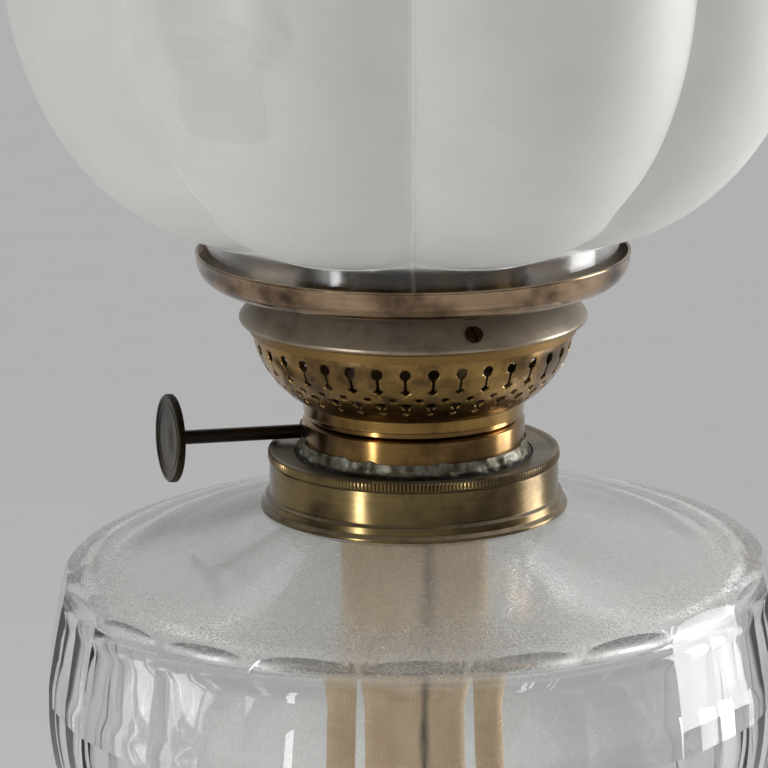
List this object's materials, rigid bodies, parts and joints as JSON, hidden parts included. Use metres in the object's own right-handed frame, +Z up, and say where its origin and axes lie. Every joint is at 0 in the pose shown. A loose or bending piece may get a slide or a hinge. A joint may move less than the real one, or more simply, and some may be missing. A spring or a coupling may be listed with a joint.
{
  "type": "oil lamp",
  "caption": "Kerosene table lamp with a spun brass foot, cut glass font, round-wick burner, lobed frosted glass shade and chimney.",
  "frame": {"origin": "centre of the foot, on the surface that the lamp stands on", "axes": "+Z up along the lamp's axis, -Y towards the front, with the winder's knob on the -X side"},
  "size_m": [0.1864, 0.1864, 0.5691],
  "materials": {
    "felt": "matte wool felt",
    "spun_brass": "spun and lacquered, tarnished",
    "cast_iron": "rough casting",
    "steel": "dull turned steel",
    "plaster": "set plaster",
    "cut_glass": "cut and polished",
    "old_brass": "tarnished, dusty",
    "gold_brass": "stamped sheet, warm patina",
    "leather": "oiled",
    "solder": "lumpy grey solder",
    "cotton": "woven cotton, aged",
    "dark_steel": "darkened steel",
    "knob_brass": "stamped and milled, dull",
    "dusty_brass": "dust over tarnish",
    "clear_glass": "blown, clear",
    "frosted_glass": "moulded, satin etched"
  },
  "bodies": {
    "root": {"felt_pad": "felt", "foot_shell": "spun_brass", "foot_weight": "cast_iron", "rod_washer": "steel", "rod_nut": "steel", "tie_rod": "steel", "stem_base": "spun_brass", "stem_baluster": "spun_brass", "stem_capital": "spun_brass", "font_cup": "spun_brass", "cup_nut": "steel", "cup_plaster": "plaster", "font": "cut_glass", "collar_plaster": "plaster", "collar": "old_brass"},
    "burner_seal": {"burner_washer": "leather"},
    "burner": {"burner_ring": "old_brass", "burner_drum": "gold_brass", "solder_seam": "solder", "drum_floor": "old_brass", "outer_wick_tube": "old_brass", "inner_air_tube": "old_brass", "air_duct": "old_brass", "spindle_gland": "old_brass", "spindle_bearing": "old_brass"},
    "wick": {"wick": "cotton", "wick_tail": "cotton"},
    "winder": {"spindle": "dark_steel", "spindle_clip": "dark_steel", "wick_wheels": "old_brass", "knob_boss": "dark_steel", "winder_knob": "knob_brass"},
    "gallery": {"gallery_neck": "gold_brass", "basket": "gold_brass", "basket_seat": "old_brass", "deck": "dusty_brass", "deck_screws": "dark_steel", "shade_ring": "gold_brass", "chimney_holder": "old_brass", "holder_rivets": "old_brass"},
    "chimney": {"chimney": "clear_glass"},
    "shade": {"shade": "frosted_glass"}
  },
  "joints": [
    {"name": "burner_rise", "type": "slide", "parent": "root", "child": "burner_seal", "axis": [0, 0, 1], "range_m": [0, 0.0065]},
    {"name": "burner_turn", "type": "hinge", "parent": "burner_seal", "child": "burner", "pos_m": [0, 0, 0.2825], "axis": [0, 0, 1], "range_deg": [0, 1080]},
    {"name": "wick_raise", "type": "slide", "parent": "burner", "child": "wick", "axis": [0, 0, 1], "range_m": [-0.005, 0.0083]},
    {"name": "winder_turn", "type": "hinge", "parent": "burner", "child": "winder", "pos_m": [-0.00539, 0.01582, 0.28565], "axis": [-0.9462, -0.3221, 0.0323], "range_deg": [-67, 111]},
    {"name": "gallery_lift", "type": "slide", "parent": "burner", "child": "gallery", "axis": [0, 0, 1], "range_m": [0, 0.05]},
    {"name": "chimney_lift", "type": "slide", "parent": "gallery", "child": "chimney", "axis": [0, 0, 1], "range_m": [0, 0.19]},
    {"name": "shade_lift", "type": "slide", "parent": "gallery", "child": "shade", "axis": [0, 0, 1], "range_m": [0, 0.25]}
  ],
  "couplings": [
    {"joint": "burner_rise", "follows": "burner_turn", "m_per_rad": 0.00033423},
    {"joint": "winder_turn", "follows": "wick_raise", "rad_per_m": 232.56}
  ]
}
